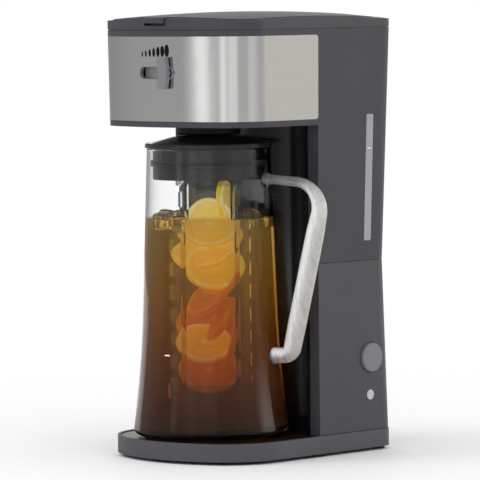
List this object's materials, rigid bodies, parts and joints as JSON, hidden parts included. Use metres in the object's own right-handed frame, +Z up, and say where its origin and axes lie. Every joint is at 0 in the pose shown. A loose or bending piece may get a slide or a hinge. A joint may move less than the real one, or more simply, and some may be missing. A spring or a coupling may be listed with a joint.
{
  "type": "iced tea maker",
  "caption": "Upright iced tea maker with a water tank, a brewing head with a strength slider, and a glass pitcher with an infuser on its base.",
  "frame": {"origin": "on the counter, below the middle of the bounding box", "axes": "+Z up, -Y towards the front where the pitcher pulls out, +X towards the side with the start button"},
  "size_m": [0.2008, 0.2258, 0.4008],
  "materials": {
    "body_grey": "satin",
    "gloss_black": "gloss",
    "inner_black": "matte",
    "brushed_steel": "brushed",
    "bezel_grey": "satin",
    "knob_grey": "satin",
    "button_grey": "matte",
    "window_grey": "translucent",
    "lamp": "gloss",
    "glass": "clear",
    "infuser_clear": "clear",
    "rubber": "matte",
    "screw_steel": "plain",
    "cast_heater": "cast",
    "hose_white": "matte",
    "board_green": "satin"
  },
  "bodies": {
    "machine": {"base_pan": "body_grey", "base_screws": "screw_steel", "rubber_feet": "rubber", "base_plate": "gloss_black", "lower_housing": "body_grey", "front_panel": "gloss_black", "upper_housing": "body_grey", "water_tank": "inner_black", "water_window": "window_grey", "top_collar": "body_grey", "hinge_pins": "screw_steel", "steel_panel": "brushed_steel", "slot_bezel": "bezel_grey", "brew_basket": "inner_black", "water_spreader": "inner_black", "feed_tube": "hose_white", "riser_tube": "hose_white", "riser_grommet": "rubber", "flow_heater": "cast_heater", "heater_stand": "inner_black", "thermostat": "cast_heater", "thermal_fuse": "cast_heater", "check_valve": "inner_black", "inlet_hose": "hose_white", "brew_switch": "inner_black", "lamp_lens": "lamp", "lamp_board": "board_green", "cord_gland": "inner_black"},
    "lid": {"top_lid": "body_grey"},
    "selector": {"selector_knob": "knob_grey", "selector_slider": "bezel_grey", "diverter_shutter": "inner_black"},
    "button": {"brew_button": "button_grey"},
    "pitcher": {"pitcher_glass": "glass", "pitcher_handle": "glass"},
    "pitcher_cover": {"pitcher_cover": "gloss_black", "cover_gasket": "rubber", "infuser_tube": "infuser_clear", "infuser_frame": "gloss_black", "infuser_cap": "gloss_black"}
  },
  "joints": [
    {"name": "lid_hinge", "type": "hinge", "parent": "machine", "child": "lid", "pos_m": [-0.0093, 0.0789, 0.3914], "axis": [-1, 0, 0], "range_deg": [0, 95]},
    {"name": "strength_slide", "type": "slide", "parent": "machine", "child": "selector", "axis": [-1, 0, 0], "range_m": [0, 0.024]},
    {"name": "start_press", "type": "slide", "parent": "machine", "child": "button", "axis": [-1, 0, 0], "range_m": [0, 0.0025], "stiffness_N_per_m": 800},
    {"name": "pitcher_pull", "type": "slide", "parent": "machine", "child": "pitcher", "axis": [0, -1, 0], "range_m": [0, 0.2]},
    {"name": "cover_turn", "type": "hinge", "parent": "pitcher", "child": "pitcher_cover", "pos_m": [-0.0093, -0.0401, 0.28], "axis": [0, 0, 1], "continuous": true}
  ]
}
